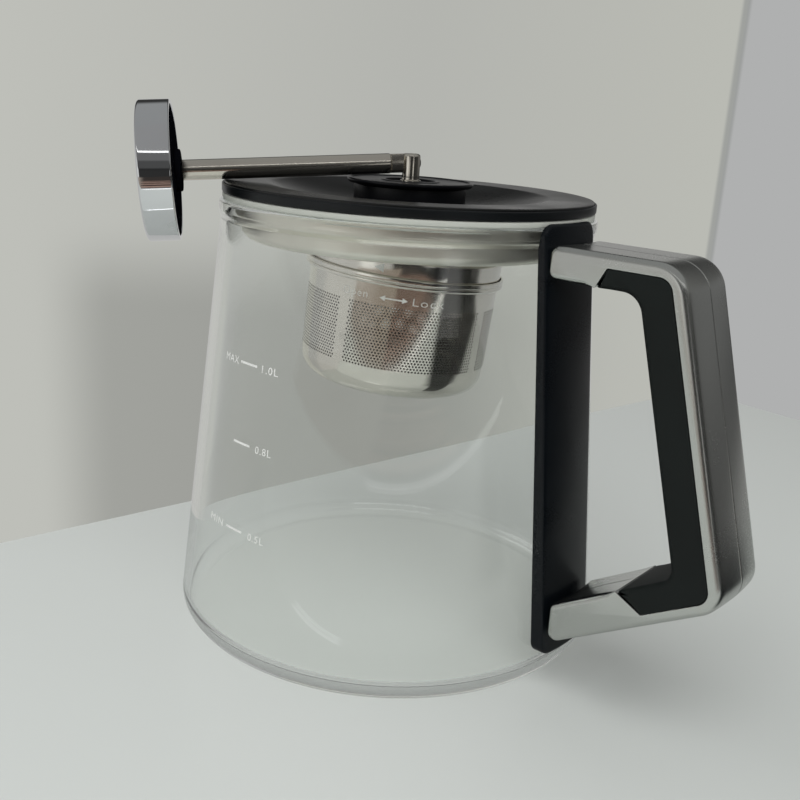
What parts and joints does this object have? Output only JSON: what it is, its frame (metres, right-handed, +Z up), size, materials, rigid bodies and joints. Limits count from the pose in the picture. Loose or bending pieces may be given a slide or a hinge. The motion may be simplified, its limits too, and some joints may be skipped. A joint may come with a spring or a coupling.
{
  "type": "glass tea jug",
  "caption": "Glass tea jug with side handle, dished lid, folding lifting rod with a round knob, and a twist-lock strainer basket.",
  "frame": {"origin": "centre of the jug's flat base, on the resting plane", "axes": "+Z up along the jug's axis, +X from the axis towards the handle"},
  "size_m": [0.1862, 0.1408, 0.1586],
  "materials": {
    "clear_glass": "clear and smooth",
    "pad_rubber": "matt",
    "satin_black": "satin",
    "silver_paint": "satin silver",
    "soft_grip": "soft touch, matt",
    "screw_steel": "plain",
    "lid_black": "satin",
    "clear_silicone": "translucent, smooth",
    "brushed_steel": "brushed",
    "polished_steel": "polished",
    "boss_black": "satin",
    "chrome_plate": "mirror bright"
  },
  "bodies": {
    "jug": {"glass_jug": "clear_glass", "glass_pad": "pad_rubber", "spine_bracket": "satin_black", "handle_left": "silver_paint", "handle_right": "silver_paint", "grip_inlay": "soft_grip", "handle_screw_upper": "screw_steel", "handle_screw_lower": "screw_steel"},
    "lid": {"lid_cover": "lid_black", "lid_ring": "lid_black", "lid_gasket": "clear_silicone", "lid_pan": "brushed_steel", "hub_housing": "lid_black", "hub_cap": "lid_black", "hub_bush": "pad_rubber", "hub_nut": "lid_black"},
    "stem_post": {"stem": "polished_steel", "hinge_pin": "polished_steel", "stem_foot": "polished_steel"},
    "lifting_rod": {"rod": "polished_steel", "knob_boss": "boss_black", "knob_insert": "boss_black", "knob_cap": "chrome_plate", "knob_screw": "screw_steel"},
    "infuser_head": {"head_collar": "polished_steel", "head_core": "boss_black", "foot_retainer": "screw_steel"},
    "seal": {"basket_seal": "clear_silicone"},
    "basket": {"basket_rim": "polished_steel", "basket_shell": "brushed_steel"}
  },
  "joints": [
    {"name": "lid_lift", "type": "slide", "parent": "jug", "child": "lid", "axis": [0, 0, 1], "range_m": [0, 0.06]},
    {"name": "stem_turn", "type": "hinge", "parent": "lid", "child": "stem_post", "pos_m": [0, 0, 0.13], "axis": [0, 0, 1], "range_deg": [-200, 97]},
    {"name": "rod_fold", "type": "hinge", "parent": "stem_post", "child": "lifting_rod", "pos_m": [0, 0, 0.1443], "axis": [-0.7627, 0.6468, 0], "range_deg": [0, 94]},
    {"name": "head_rock", "type": "hinge", "parent": "stem_post", "child": "infuser_head", "pos_m": [0, 0, 0.112], "axis": [-0.6428, 0.766, 0], "range_deg": [-4.8, 0]},
    {"name": "basket_drop", "type": "slide", "parent": "infuser_head", "child": "seal", "axis": [-0.0641, -0.0538, -0.9965], "range_m": [0, 0.0101]},
    {"name": "basket_twist", "type": "hinge", "parent": "seal", "child": "basket", "pos_m": [0, 0, 0.112], "axis": [0.0641, 0.0538, 0.9965], "range_deg": [0, 40]}
  ],
  "couplings": [
    {"joint": "basket_drop", "follows": "basket_twist", "m_per_rad": 0.014324}
  ]
}
